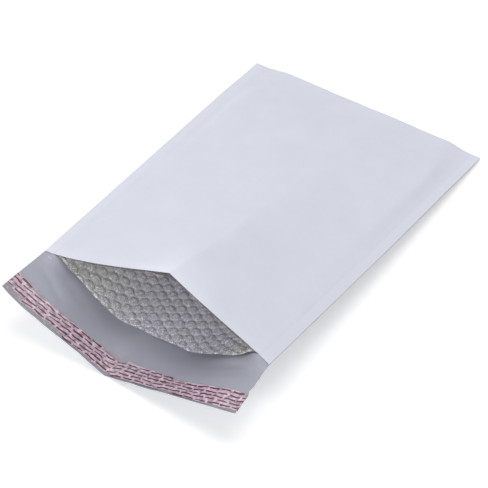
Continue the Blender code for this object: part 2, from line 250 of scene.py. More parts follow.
class Fold:
    """Takes points of a flat sheet to their place. Across is s, and v runs along the sheet from the
    flap's cut edge over the back to the bottom fold and back over the front to the mouth."""

    def __init__(self, sizes):
        self.sizes = sizes
        self.half = sizes.width / 2
        self.weld = self.half - sizes.seam_width
        self.flap = sizes.flap_length
        self.mouth_y = FILM_LOW.y + self.flap
        fold_half = sizes.pocket_half - sizes.fold_flattening
        self.pocket = FILM_HIGH.y - fold_half - self.mouth_y
        self.back_end = self.flap + self.pocket
        self.front_start = self.back_end + math.pi * fold_half
        self.end = self.front_start + self.pocket

    def openness(self, y):
        return np.maximum(1 - y / self.pocket, 0.0)

    def near_fold(self, openness):
        return 1 - smooth(openness / self.sizes.fold_reach)

    def pocket_half(self, openness):
        return self.sizes.pocket_half - self.sizes.fold_flattening * self.near_fold(openness)

    def plan_x(self, s, openness):
        sizes = self.sizes
        return s * (1 - sizes.mouth_pull * openness**sizes.pull_power / self.half)

    def grip(self, s, openness):
        """1 on the welded seam, 0 where the panels are a whole lining apart."""
        sizes = self.sizes
        roll = sizes.seam_roll + (sizes.mouth_roll - sizes.seam_roll) * openness
        roll = roll + (sizes.fold_roll - sizes.seam_roll) * self.near_fold(openness)
        return 1 - smooth((self.weld - np.abs(s)) / roll)

    def seam_middle(self, openness):
        """Height of the weld's inner edge: from half way up the pocket to level with the front."""
        half = self.pocket_half(openness)
        return half + (half - self.sizes.seam_half) * openness

    def seam_lean(self, s, openness):
        """How far the weld leans down towards its outer edge."""
        band = np.clip((np.abs(s) - self.weld) / (self.half - self.weld), 0.0, 1.0)
        drop = self.pocket_half(openness) - self.sizes.seam_half
        return -band * openness * (drop + np.copysign(self.sizes.mouth_tilt, s))

    def tent(self, s, softness):
        sizes = self.sizes
        left = s < sizes.ridge_offset
        limb = np.where(left, self.weld + sizes.ridge_offset, self.weld - sizes.ridge_offset)
        away = np.minimum(np.abs(s - sizes.ridge_offset) / limb, 1.0)
        rise = 1 - np.hypot(away, softness) / np.hypot(1.0, softness)
        return rise ** np.where(left, sizes.left_power, sizes.right_power)

    def back_height(self, s, openness):
        sizes = self.sizes
        trough = smooth((np.abs(s) - sizes.trough_flat) / (self.weld - sizes.trough_flat))
        lift = (self.seam_middle(openness) - sizes.seam_half) * self.grip(s, openness)
        return self.rise(openness) * trough + lift + self.seam_lean(s, openness)

    def rise(self, openness):
        return self.sizes.mouth_rise * openness**self.sizes.rise_power

    def front_height(self, s, openness, softness):
        sizes = self.sizes
        full = 2 * self.pocket_half(openness)
        drop = full - self.seam_middle(openness) - sizes.seam_half
        level = self.rise(openness) + full - drop * self.grip(s, openness)
        ridge = sizes.ridge_rise * openness**sizes.ridge_fade * self.tent(s, softness)
        return level + ridge + self.seam_lean(s, openness)

    def gap(self, s, v):
        """How far apart the front and the back film are where the sheet's point lies."""
        from_mouth = np.minimum(v - self.flap, self.end - v)
        openness = self.openness(np.maximum(from_mouth, 0.0))
        softness = self.sizes.ridge_softness * (1 - openness)
        return self.front_height(s, openness, softness) - self.back_height(s, openness)

    def back(self, s, y):
        openness = self.openness(y)
        return np.stack([self.plan_x(s, openness), y, self.back_height(s, openness)], -1)

    def front(self, s, y, lining_softness):
        sizes = self.sizes
        openness = self.openness(y)
        softness = sizes.ridge_softness * np.maximum(1 - openness, 0.0) + lining_softness
        setback = sizes.ridge_setback * openness * self.tent(s, softness)
        height = self.front_height(s, openness, softness)
        return np.stack([self.plan_x(s, openness), y + setback, height], -1)

    def bottom(self, s, turn):
        low = self.back_height(s, 0.0)
        radius = (self.front_height(s, 0.0, 0.0) - low) / 2
        y = self.pocket + radius * np.sin(turn)
        return np.stack([self.plan_x(s, 0.0), y, low + radius * (1 - np.cos(turn))], -1)

    def flap_root(self, s, part):
        """The mouth's line as the flap leaves it. The welds' crest soon runs out into the flap."""
        sizes = self.sizes
        root = self.back(s, np.zeros_like(s))
        end = self.back(np.full_like(s, self.half) * np.sign(s), np.zeros_like(s))[..., 2]
        plain = end * smooth((np.abs(s) - sizes.trough_flat) / (self.half - sizes.trough_flat))
        crest = 1 - smooth(part * self.flap / sizes.crest_reach)
        root[..., 2] = plain + (root[..., 2] - plain) * crest
        return root

    def flap_place(self, s, part):
        sizes = self.sizes
        left = s < sizes.flap_crease
        limb = np.where(left, self.half + sizes.flap_crease, self.half - sizes.flap_crease)
        pull = np.where(left, sizes.flap_left_pull, sizes.flap_right_pull)
        rise = np.where(left, sizes.flap_left_rise, sizes.flap_right_rise)
        sag = np.where(left, sizes.flap_left_sag, 0.0)
        away = s - sizes.flap_crease
        x = sizes.flap_crease + away * (1 - pull / limb)
        along_limb = np.minimum(np.abs(away) / limb, 1.0)
        z = rise * np.abs(away) / limb - sag * np.sin(math.pi * along_limb**sizes.flap_sag_power)
        edge = np.stack([x, np.full_like(x, -self.flap), z], -1)
        return self.flap_root(s, part) * (1 - part[..., None]) + edge * part[..., None]

    def outer(self, s, v, lining_softness):
        """Points on the outer face of the folded film."""
        places = np.where(
            (v < self.flap)[..., None],
            self.flap_place(s, 1 - v / self.flap),
            self.back(s, np.clip(v - self.flap, 0.0, self.pocket)),
        )
        turn = math.pi * (v - self.back_end) / (self.front_start - self.back_end)
        turn = np.clip(turn, 0.0, math.pi)
        places = np.where((v >= self.back_end)[..., None], self.bottom(s, turn), places)
        front = self.front(s, np.minimum(self.end - v, self.pocket), lining_softness)
        return np.where((v >= self.front_start)[..., None], front, places)

    def place(self, s, v, depth, lining_softness=0.0):
        """Places at a depth below the film's outer face, towards the inside of the mailer."""
        step = 1e-4
        across = self.outer(s + step, v, lining_softness) - self.outer(s - step, v, lining_softness)
        along = self.outer(s, v + step, lining_softness) - self.outer(s, v - step, lining_softness)
        inward = np.cross(across, along)
        inward /= np.linalg.norm(inward, axis=-1, keepdims=True)
        outer = self.outer(s, v, lining_softness)
        return outer + inward * depth[..., None] + np.array([0.0, self.mouth_y, 0.0])


def stations(start, *spans):
    """Positions from start through each span's end, at even steps no longer than the span's."""
    found = [start]
    for end, step in spans:
        count = max(1, math.ceil((end - start) / step))
        found += [start + (end - start) * n / count for n in range(1, count + 1)]
        start = end
    return np.array(found)


def add_piece(name, mesh, node, materials):
    piece = bpy.data.objects.new(name, mesh)
    bpy.context.scene.collection.objects.link(piece)
    for material in materials:
        mesh.materials.append(material)
    mesh.shade_smooth()
    mesh.set_sharp_from_angle(angle=math.radians(40))
    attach(piece, "root")
    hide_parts(node)
    return piece


def add_flat_map(mesh, flat):
    """Keeps each point's place on the flat sheet, in metres, for the materials."""
    layer = mesh.uv_layers.new(name="flat")
    corners = np.empty(len(mesh.loops), np.int32)
    mesh.loops.foreach_get("vertex_index", corners)
    layer.data.foreach_set("uv", flat[corners].ravel())


def sheet_mesh(name, s, v, outer, inner):
    """A closed thin sheet between two grids. Its inner faces and rims get the second material."""
    rows, cols = s.shape
    ids = np.arange(rows * cols).reshape(rows, cols)
    over = rows * cols
    quads = np.stack([ids[:-1, :-1], ids[1:, :-1], ids[1:, 1:], ids[:-1, 1:]], -1).reshape(-1, 4)
    rims = []
    for a, b in (
        (ids[0, :-1], ids[0, 1:]),
        (ids[-1, 1:], ids[-1, :-1]),
        (ids[1:, 0], ids[:-1, 0]),
        (ids[:-1, -1], ids[1:, -1]),
    ):
        rims.append(np.stack([a, b, b + over, a + over], -1))
    faces = np.concatenate([quads, quads[:, ::-1] + over, *rims])
    mesh = bpy.data.meshes.new(name)
    points = np.concatenate([outer.reshape(-1, 3), inner.reshape(-1, 3)])
    mesh.from_pydata(points.tolist(), [], faces.tolist())
    sides = np.zeros(len(faces), np.int32)
    sides[len(quads) :] = 1
    mesh.polygons.foreach_set("material_index", sides)
    flat = np.stack([s.ravel(), v.ravel()], -1)
    add_flat_map(mesh, np.concatenate([flat, flat]))
    return mesh


class Signal:
    """An output in a node tree. Reckoning with it adds the nodes that do the same."""

    def __init__(self, build, socket):
        self.build = build
        self.socket = socket

    def __add__(self, other):
        return self.build.math("ADD", self, other)

    def __sub__(self, other):
        return self.build.math("SUBTRACT", self, other)

    def __rsub__(self, other):
        return self.build.math("SUBTRACT", other, self)

    def __mul__(self, other):
        return self.build.math("MULTIPLY", self, other)

    def __truediv__(self, other):
        return self.build.math("DIVIDE", self, other)

    def __abs__(self):
        return self.build.math("ABSOLUTE", self)


class Nodes:
    """Short calls that add nodes to a tree and join them."""

    def __init__(self, tree):
        self.tree = tree

    def add(self, kind, inputs=(), **settings):
        node = self.tree.nodes.new("ShaderNode" + kind)
        for name, value in settings.items():
            setattr(node, name, value)
        for key, value in dict(inputs).items():
            self.put(node.inputs[key], value)
        return node

    def put(self, socket, value):
        if isinstance(value, Signal):
            self.tree.links.new(value.socket, socket)
        else:
            socket.default_value = value

    def read(self, node, key=0):
        return Signal(self, node.outputs[key])

    def read_all(self, node):
        return {output.name: Signal(self, output) for output in node.outputs}

    def use(self, name, inputs):
        """Adds a shared group, made where it is first used, and gives its outputs by name."""
        group = bpy.data.node_groups.get(name) or SHARED_GROUPS[name](name)
        return self.read_all(self.add("Group", inputs, node_tree=group))

    def math(self, operation, a, b=0.0):
        return self.read(self.add("Math", {0: a, 1: b}, operation=operation))

    def scale(self, vector, factor):
        return self.read(self.add("VectorMath", {0: vector, "Scale": factor}, operation="SCALE"))

    def blend(self, factor, a, b):
        """Color a where the factor is 0 and color b where it is 1."""
        a, b = (side if isinstance(side, Signal) else (*side, 1.0) for side in (a, b))
        return self.read(self.add("Mix", {0: factor, 6: a, 7: b}, data_type="RGBA"), 2)

    def ramp(self, value, low, high):
        """0 at low and 1 at high, with smooth ends."""
        limits = {"Value": value, "From Min": low, "From Max": high}
        return self.read(self.add("MapRange", limits, interpolation_type="SMOOTHSTEP"))

    def noise(self, vector, scale, detail=2.0):
        return self.read(self.add("TexNoise", {"Vector": vector, "Scale": scale, "Detail": detail}))

    def chance(self, key, sides="3D"):
        """A fixed value between 0 and 1 for each key."""
        socket = "W" if sides == "1D" else "Vector"
        return self.read(self.add("TexWhiteNoise", {socket: key}, noise_dimensions=sides))

    def split(self, vector):
        node = self.add("SeparateXYZ", {0: vector})
        return self.read(node, "X"), self.read(node, "Y")

    def join(self, x, y):
        return self.read(self.add("CombineXYZ", {"X": x, "Y": y}))


class Surface(Nodes):
    """The nodes of a new material, with its main shader."""

    def __init__(self, name):
        self.material = bpy.data.materials.new(name)
        self.material.use_nodes = True
        super().__init__(self.material.node_tree)
        self.shader = self.tree.nodes["Principled BSDF"]

    def give(self, values):
        """Sets or joins the shader's inputs."""
        for name, value in values.items():
            self.put(self.shader.inputs[name], value)

    def flat_map(self):
        """Where a point lies on the flat sheet, in metres."""
        return self.read(self.add("UVMap", uv_map="flat"))

    def bump(self, height, distance):
        """Shades the surface as if it had these heights, and gives its new normal."""
        normal = self.read(self.add("Bump", {"Height": height, "Distance": distance}))
        self.give({"Normal": normal})
        return normal


def new_group(name, inputs, outputs):
    """An empty node group with its builder, what it is given, by name, and what it has to fill."""
    group = bpy.data.node_groups.new(name, "ShaderNodeTree")
    for side, sockets in (("INPUT", inputs), ("OUTPUT", outputs)):
        for label, kind in sockets.items():
            group.interface.new_socket(label, in_out=side, socket_type="NodeSocket" + kind)
    build = Nodes(group)
    given = build.read_all(group.nodes.new("NodeGroupInput"))
    return group, build, given, group.nodes.new("NodeGroupOutput").inputs


# How often the film's stretch lines change within a metre, across them and along them.
STRETCH = (420.0, 22.0, 1.0)
# How strongly those lines stand out of the grain, and how much it varies the roughness.
LINES_SHARE = 0.4
GRAIN_ROUGHNESS = 0.12


def film_grain_group(name):
    """Soft clouding, fine grain and faint stretch lines of blown film."""
    group, build, given, made = new_group(
        name,
        {"Flat": "Vector", "Color": "Color", "Clouding": "Float", "Roughness": "Float"},
        {"Color": "Color", "Roughness": "Float", "Height": "Float"},
    )
    flat = given["Flat"]
    cloud = build.noise(flat, scale=38.0, detail=3.0)
    fine = build.noise(flat, scale=900.0)
    stretched = build.add("Mapping", {"Vector": flat, "Scale": STRETCH})
    lines = build.noise(build.read(stretched), scale=1.0, detail=1.0)
    brightness = (cloud - 0.5) * given["Clouding"] + 1.0
    build.put(made["Color"], build.scale(given["Color"], brightness))
    build.put(made["Roughness"], (fine - 0.5) * GRAIN_ROUGHNESS + given["Roughness"])
    build.put(made["Height"], lines * LINES_SHARE + fine)
    return group


# From a bubble's middle, as shares of the pitch: where its mask and its crown's start and are full.
PAD_EDGE = (0.50, 0.34)
CROWN_EDGE = (0.26, 0.06)


def bubble_print_group(name):
    """The rows of bubbles on the flat sheet: a mask of each bubble and one of its crown, where the
    lining's painted highlight goes.
    """
    group, build, given, made = new_group(
        name, {"Flat": "Vector", "Pitch": "Float"}, {"Mask": "Float", "Crown": "Float"}
    )
    s, v = build.split(given["Flat"])
    pitch = given["Pitch"]
    distances = []
    for shift in (0.0, 0.5):
        squares = []
        for place, spacing in ((s, pitch * math.sqrt(3.0)), (v, pitch)):
            offset = (build.math("FRACT", place / spacing + shift) - 0.5) * spacing
            squares.append(offset * offset)
        distances.append(build.math("SQRT", squares[0] + squares[1]))
    nearest = build.math("MINIMUM", *distances) / pitch
    build.put(made["Mask"], build.ramp(nearest, *PAD_EDGE))
    build.put(made["Crown"], build.ramp(nearest, *CROWN_EDGE))
    return group


# Half the width of the pressed band's soft edge, and from one of its ribs to the next.
BAND_EDGE = 0.0004
RIB_PITCH = 0.0012


def weld_band_group(name):
    """The pressed band of a side weld, with its fine ribs."""
    group, build, given, made = new_group(
        name, {"Flat": "Vector", "Weld Edge": "Float"}, {"Mask": "Float", "Ribs": "Float"}
    )
    s, v = build.split(given["Flat"])
    mask = build.ramp(abs(s) - given["Weld Edge"], -BAND_EDGE, BAND_EDGE)
    build.put(made["Mask"], mask)
    build.put(made["Ribs"], build.math("SINE", v * (math.tau / RIB_PITCH)) * mask)
    return group


SHARED_GROUPS = {
    "film grain": film_grain_group,
    "bubble print": bubble_print_group,
    "weld band": weld_band_group,
}

# How deep the fine relief of the films is shaded, and the share of it that the poly film gets.
FINE_RELIEF = 0.0001
FILM_GRAIN = 0.05
# How far behind the mouth the bubbles begin to show through the film.
PADS_START = 0.004


def grainy_surface(name, tone, clouding, roughness):
    """A surface of blown film in one tone, with its flat map and the height of its grain."""
    surface = Surface(name)
    flat = surface.flat_map()
    grain = surface.use("film grain", {
        "Flat": flat, "Color": (*tone, 1.0), "Clouding": clouding, "Roughness": roughness,
    })
    surface.give({"Base Color": grain["Color"], "Roughness": grain["Roughness"]})
    return surface, flat, grain


def film_inside(film):
    surface, _, grain = grainy_surface(
        "film_inside", film.inside, film.clouding, film.roughness
    )
    surface.bump(grain["Height"] * FILM_GRAIN, FINE_RELIEF)
    return surface.material


def film_outside(film, bubbles, fold):
    """The white face, in which the bubbles and the welds' pressed bands show faintly, with painted
    light by the mouth.
    """
    surface, flat, grain = grainy_surface(
        "film_outside", film.outside, film.clouding, film.roughness
    )
    s, v = surface.split(flat)
    pads = surface.use("bubble print", {"Flat": flat, "Pitch": bubbles.pitch})
    band = surface.use("weld band", {"Flat": flat, "Weld Edge": fold.weld + film.band_inset})
    pocket = surface.ramp(v, fold.flap, fold.flap + PADS_START)
    pale = [min(1.0, value * (1 + film.band_pale)) for value in film.outside]
    tone = surface.blend(band["Mask"], grain["Color"], pale)
    # Painted light: the colour is brightened by the mouth and at the ridge's tip.
    tone = surface.scale(tone, painted_mouth_light(surface, s, v, film, fold))
    surface.give({"Base Color": tone})
    height = grain["Height"] * FILM_GRAIN + band["Ribs"] * film.ribs
    height += pads["Mask"] * pocket * (1.0 - band["Mask"]) * film.pads
    surface.bump(height, FINE_RELIEF)
    return surface.material


def painted_mouth_light(build, s, v, film, fold):
    """Painted light on the front film: how much its colour is brightened by the mouth and at the
    ridge's tip, standing in for light from inside that comes through.
    """
    edge = build.ramp(v, fold.end - film.edge_reach, fold.end) * film.edge_pale
    beside_ridge = build.ramp(abs(s - fold.sizes.ridge_offset), film.tip_width, 0.0)
    tip = beside_ridge * build.ramp(v, fold.end - film.tip_reach, fold.end) * film.tip_pale
    return tip + edge + 1.0


# Where the noise of each kind is read, so that no two kinds look alike.
SEEDS = {
    "dents": 3.1, "small dents": 8.7, "puckers": 1.9, "cut": 7.7, "side cut": 2.6,
    "bubble size": 0.7, "lean across": 4.4, "lean along": 9.2, "bubble height": 2.2,
    "lining edge": 6.3, "strip": 5.5,
}


def noise_at(s, v, size, kind):
    """Smooth noise between about -1 and 1 at one point of the flat sheet."""
    return noise.noise(Vector((s / size, v / size, SEEDS[kind])))


def noise_field(s, v, size, kind):
    """The same at each point of a grid, with features of the given size."""
    values = [noise_at(a, b, size, kind) for a, b in zip(s.ravel(), v.ravel())]
    return np.array(values).reshape(s.shape)


# Added to noise where a sheet waves, so that more of it stands up than lies flat.
WAVE_SHIFT = 0.6


def bell(value, middle, width):
    """1 in the middle and near 0 two widths from it."""
    return np.exp(-(((value - middle) / width) ** 2))


# Widths of the film's wide and small dents, and how deep the small ones are beside the wide.
DENT_SIZE = 0.055
SMALL_DENT_SIZE = 0.021
SMALL_DENT_DEPTH = 0.4
# How far the dents of the flap run into the pocket.
HINGE = 0.008
# Width of the puckers, how they are stretched, and where beside the seam they are.
PUCKER_SIZE = 0.0065
PUCKER_STRETCH = 0.35
PUCKER_PLACE = 0.0066
PUCKER_SPREAD = 0.004157
GROOVE_WIDTH = 0.001


def film_relief(fold, film, s, v):
    """How far the film stands out of its smooth fold: soft dents, puckers by the seams, creases."""
    dents = noise_field(s, v, DENT_SIZE, "dents")
    dents += SMALL_DENT_DEPTH * noise_field(s, v, SMALL_DENT_SIZE, "small dents")
    nearest = np.minimum(np.abs(v - fold.flap), fold.end - v)
    free = 1 - fold.grip(s, fold.openness(nearest))
    on_flap = 1 - smooth(v, fold.flap - HINGE, fold.flap + HINGE)
    relief = film.swell * dents * np.maximum(free, on_flap)
    beside_seam = bell(fold.weld - np.abs(s), PUCKER_PLACE, PUCKER_SPREAD) * (1 - on_flap)
    puckers = noise_field(s * PUCKER_STRETCH + np.sign(s), v, PUCKER_SIZE, "puckers")
    relief += film.ripple * puckers * beside_seam
    in_groove = bell(np.abs(s), fold.weld + film.band_inset, GROOVE_WIDTH)
    relief -= film.groove * in_groove * (v > fold.front_start)
    relief += film.crease * flap_creases(fold, s, v)
    # The back panel lies on the floor, so it is dented only inwards.
    on_back = smooth(v, fold.flap, fold.flap + 0.01) * (v < fold.back_end)
    return np.minimum(relief, 0.0) * on_back + relief * (1 - on_back)


# Width of the bites in the flap's cut edge and right side, and what is added for more of them.
CUT_BITE = 0.016
SIDE_BITE = 0.009
MORE_CUT = 0.2
MORE_SIDE = 0.15
# How far in the cut edge's bites are felt. The side's are felt beyond this share of the half
# width, and up to this share of the flap.
CUT_REACH = 0.006
SIDE_FROM = 0.92
SIDE_UP_TO = 0.7


def wavy_cut(fold, film, s, v):
    """Moves the flap's cut edge and right side in a little, as a knife leaves thin film."""
    bite = np.maximum(noise_field(s, np.zeros_like(v), CUT_BITE, "cut") + MORE_CUT, 0.0)
    side_noise = noise_field(np.zeros_like(s), v, SIDE_BITE, "side cut")
    side_bite = np.maximum(side_noise + MORE_SIDE, 0.0)
    near_side = smooth(s / fold.half, SIDE_FROM, 1.0)
    on_flap = 1 - smooth(v / fold.flap, SIDE_UP_TO, 1.0)
    cut_s = s - film.side_wave * side_bite * near_side * on_flap
    return cut_s, v + film.cut_wave * bite * np.exp(-v / CUT_REACH)


# Faint creases that fan out from the flap's right mouth corner, and two on the left. Each starts
# and ends at a place across and at a share of the flap's length, and has a width.
FLAP_CREASES = (
    (0.112, 0.97, 0.035, 0.70, 0.0030),
    (0.112, 0.93, 0.010, 0.46, 0.0036),
    (0.116, 0.80, 0.048, 0.55, 0.0026),
    (-0.113, 0.96, -0.040, 0.66, 0.0034),
    (-0.114, 0.75, -0.070, 0.45, 0.0030),
)


def flap_creases(fold, s, v):
    """How strongly each point lies in a crease of the flap."""
    total = np.zeros_like(s)
    for start_s, start_share, end_s, end_share, width in FLAP_CREASES:
        start = np.array([start_s, start_share * fold.flap])
        run = np.array([end_s, end_share * fold.flap]) - start
        reach = np.hypot(*run)
        along = ((s - start[0]) * run[0] + (v - start[1]) * run[1]) / reach**2
        aside = ((s - start[0]) * run[1] - (v - start[1]) * run[0]) / reach
        total += smooth(along, 0.0, 0.2) * (1 - smooth(along, 0.5, 1.0)) * bell(aside, 0.0, width)
    return total


class MAILER_OT_film(bpy.types.Operator):
    """Make the folded poly film"""

    bl_idname = "mailer.film"
    bl_label = "Poly Film"

    def execute(self, context):
        scene = context.scene
        sizes, film, fold = scene.mailer_fold, scene.mailer_film, Fold(scene.mailer_fold)
        turns = (-sizes.trough_flat, sizes.flap_crease, sizes.ridge_offset, sizes.trough_flat)
        ends = (-fold.weld, *sorted(turns), fold.weld, fold.half)
        across = stations(-fold.half, *((end, film.step) for end in ends))
        along = stations(
            0.0, (fold.flap, film.step), (fold.back_end, film.step),
            (fold.front_start, film.step / 3), (fold.end, film.step),
        )
        s, v = np.meshgrid(across, along)
        relief = film_relief(fold, film, s, v)
        cut = wavy_cut(fold, film, s, v)
        outer = fold.place(*cut, -relief)
        inner = fold.place(*cut, film.thickness - relief)
        # Where a dent would dip under the floor, both faces are lifted onto it.
        lift = np.maximum(-outer[..., 2], 0.0)
        outer[..., 2] += lift
        inner[..., 2] += lift
        mesh = sheet_mesh("film_sheet", s, v, outer, inner)
        sides = film_outside(film, scene.mailer_bubbles, fold), film_inside(film)
        add_piece("film_sheet", mesh, "outer_film", sides)
        return {"FINISHED"}


def bubble_cells(fold, bubbles):
    """The middle of each bubble on the flat lining, with whether it is made finely."""
    column_pitch = bubbles.pitch * math.cos(math.radians(30))
    reach = math.ceil((fold.weld - bubbles.inset) / column_pitch)
    rows = math.ceil((fold.end - fold.flap) / bubbles.pitch)
    for column in range(-reach, reach + 1):
        shift = bubbles.pitch / 2 if column % 2 else 0.0
        for row in range(-1, rows + 1):
            v = fold.flap + row * bubbles.pitch + shift
            from_mouth = min(v - fold.flap, fold.end - v)
            yield column * column_pitch, v, from_mouth < bubbles.fine_reach


# Share of a bubble's radius and of its height, from its foot to its crown.
FINE_RINGS = ((1.0, 0.0), (0.90, 0.25), (0.75, 0.58), (0.52, 0.87), (0.26, 1.0))
PLAIN_RINGS = ((1.0, 0.0), (0.78, 0.80))


def around(center_s, center_v, reach, count):
    """Points at even steps round a middle."""
    turns = (math.tau * n / count for n in range(count))
    return [(center_s + reach * math.cos(a), center_v + reach * math.sin(a)) for a in turns]


def bubble_faces(center_s, center_v, fine, bubbles):
    """One bubble's six-sided field: its points as (s, v, share of height) and its faces."""
    radius = bubbles.diameter / 2
    rings = FINE_RINGS if fine else PLAIN_RINGS
    count = 12 if fine else 6
    corners = around(center_s, center_v, bubbles.pitch / math.sqrt(3.0), 6)
    points = [(*corner, 0.0) for corner in corners]
    for reach, height in rings:
        ring = around(center_s, center_v, radius * reach, count)
        points += [(*place, height) for place in ring]
    points.append((center_s, center_v, 1.0))
    faces = []
    per_side = count // 6
    for n in range(6):
        here, there = n, (n + 1) % 6
        foot = [6 + (n * per_side + k) % count for k in range(per_side + 1)]
        if fine:
            faces += [(here, foot[1], foot[0]), (here, there, foot[1]), (there, foot[2], foot[1])]
        else:
            faces.append((here, there, foot[1], foot[0]))
    for level in range(len(rings) - 1):
        base = 6 + level * count
        for n in range(count):
            m = (n + 1) % count
            faces.append((base + n, base + m, base + count + m, base + count + n))
    base = 6 + (len(rings) - 1) * count
    crown = len(points) - 1
    faces += [(base + n, base + (n + 1) % count, crown) for n in range(count)]
    return points, faces


# In square metres. Faces that the lining's edges press flatter than this are left out.
SMALLEST_FACE = 1e-12
# Sizes of the unevenness: from bubble to bubble, of their lean and within each.
SIZE_NOISE = 1 / 300
LEAN_NOISE = 1 / 210
HEIGHT_NOISE = 1 / 620
# From the bottom fold's middle, how far there are no bubbles and how soon they are full.
FOLD_BARE = 0.008
FOLD_FADE = 0.012
# How far from the lining's edges the bubbles are full.
EDGE_FADE = 0.0016
# Width of the waves of the lining's cut edge, and how soon its two lifts fade.
EDGE_WAVE = 0.019
LIFT_FADE = 0.004
MORE_FADE = 0.011


class MAILER_OT_bubbles(bpy.types.Operator):
    """Make the bubble lining"""

    bl_idname = "mailer.bubbles"
    bl_label = "Bubble Lining"

    def execute(self, context):
        scene = context.scene
        bubbles, fold = scene.mailer_bubbles, Fold(scene.mailer_fold)
        places, faces = self.flat_lining(fold, bubbles)
        s, v, rise, layer = places.T
        gap = fold.gap(s, v)
        room = np.maximum(gap / 2 - bubbles.depth - bubbles.sheet, 0.0)
        from_mouth = np.minimum(v - fold.flap, fold.end - bubbles.front_inset - v)
        wave = WAVE_SHIFT + noise_field(s, v, EDGE_WAVE, "lining edge")
        lift = bubbles.edge_lift * wave * np.exp(-from_mouth / LIFT_FADE)
        more = bell(s, bubbles.lift_place, bubbles.lift_width) * np.exp(-from_mouth / MORE_FADE)
        lift += (v < fold.back_end) * bubbles.lift_more * more
        depth = np.minimum(bubbles.depth, gap / 3) + lift
        depth += np.where(layer == 1, 0.0, bubbles.sheet) + np.minimum(rise, room)
        points = fold.place(s, v, depth, fold.sizes.lining_softness)
        mesh = bpy.data.meshes.new("bubble_sheet")
        mesh.from_pydata(points.tolist(), [], faces)
        add_flat_map(mesh, places[:, :2])
        material = bubble_plastic(bubbles, fold)
        add_piece("bubble_sheet", mesh, "bubble_lining", (material,))
        return {"FINISHED"}

    def flat_lining(self, fold, bubbles):
        """The flat lining: points as (s, v, rise, layer) and the faces of its two layers."""
        index, places, faces = {}, [], []
        edge = fold.weld - bubbles.inset
        low, high = fold.flap, fold.end - bubbles.front_inset

        def point(s, v, rise, layer):
            key = point_key(s, v, rise, layer)
            if key not in index:
                index[key] = len(places)
                places.append((s, v, rise, layer))
            return index[key]

        for center_s, center_v, fine in bubble_cells(fold, bubbles):
            flat, local = bubble_faces(center_s, center_v, fine, bubbles)
            full, lean_s, lean_v = self.own_shape(center_s, center_v, fold, bubbles)
            clipped = False
            placed = []
            for s, v, height in flat:
                height *= 1 + bubbles.crumple * noise_at(s, v, HEIGHT_NOISE, "bubble height")
                s += lean_s * height
                v += lean_v * height
                inside_s, inside_v = min(max(s, -edge), edge), min(max(v, low), high)
                clipped = clipped or inside_s != s or inside_v != v
                from_edge = min(edge - abs(inside_s), inside_v - low, high - inside_v)
                rise = height * full * float(smooth(from_edge / EDGE_FADE))
                placed.append((inside_s, inside_v, rise))
            top = [point(*place, 0) for place in placed]
            for face in local:
                if flat_area([placed[n][:2] for n in face]) > SMALLEST_FACE:
                    faces.append(tuple(dict.fromkeys(top[n] for n in face)))
                    if clipped:
                        back = [point(*placed[n][:2], 0.0, 1) for n in reversed(face)]
                        faces.append(tuple(dict.fromkeys(back)))
            if not clipped:
                faces.append(tuple(point(*placed[n][:2], 0.0, 1) for n in reversed(range(6))))
        return np.array(places), close_rim(faces, index, places)

    def own_shape(self, s, v, fold, bubbles):
        """A bubble's own height, and how far it leans across and along."""
        from_fold = abs(v - (fold.back_end + fold.front_start) / 2)
        full = bubbles.height * float(smooth((from_fold - FOLD_BARE) / FOLD_FADE))
        full *= 1 + bubbles.crumple * noise_at(s, v, SIZE_NOISE, "bubble size")
        reach = bubbles.crumple * bubbles.diameter
        lean_s = reach * noise_at(s, v, LEAN_NOISE, "lean across")
        lean_v = reach * noise_at(s, v, LEAN_NOISE, "lean along")
        return full, lean_s, lean_v


# Places across between which the plastic's tint goes from cool to warm, on the left and the right.
WARM_LEFT = (-0.02, -0.085)
WARM_RIGHT = (0.055, 0.10)
# Where the painted crumple shading and the painted glints start and are full, on a scale of noise
# from 0 to 1.
CRUMPLE_SHADING = (0.40, 0.66)
PAINTED_GLINTS = (0.56, 0.66)
# How bright the plastic is outside the painted crumple shading and how much brighter it is painted
# in it.
CLEAR = 0.70
CRUMPLE_LIGHT = 0.38
# How far from the cut edge there are more painted glints, and from the front edge where the painted
# shade ends.
GLINT_REACH = 0.022
SHADE_REACH = (0.008, 0.004)
# How much deeper the wide creases are than the fine ones.
WIDE_CREASES = 1.6


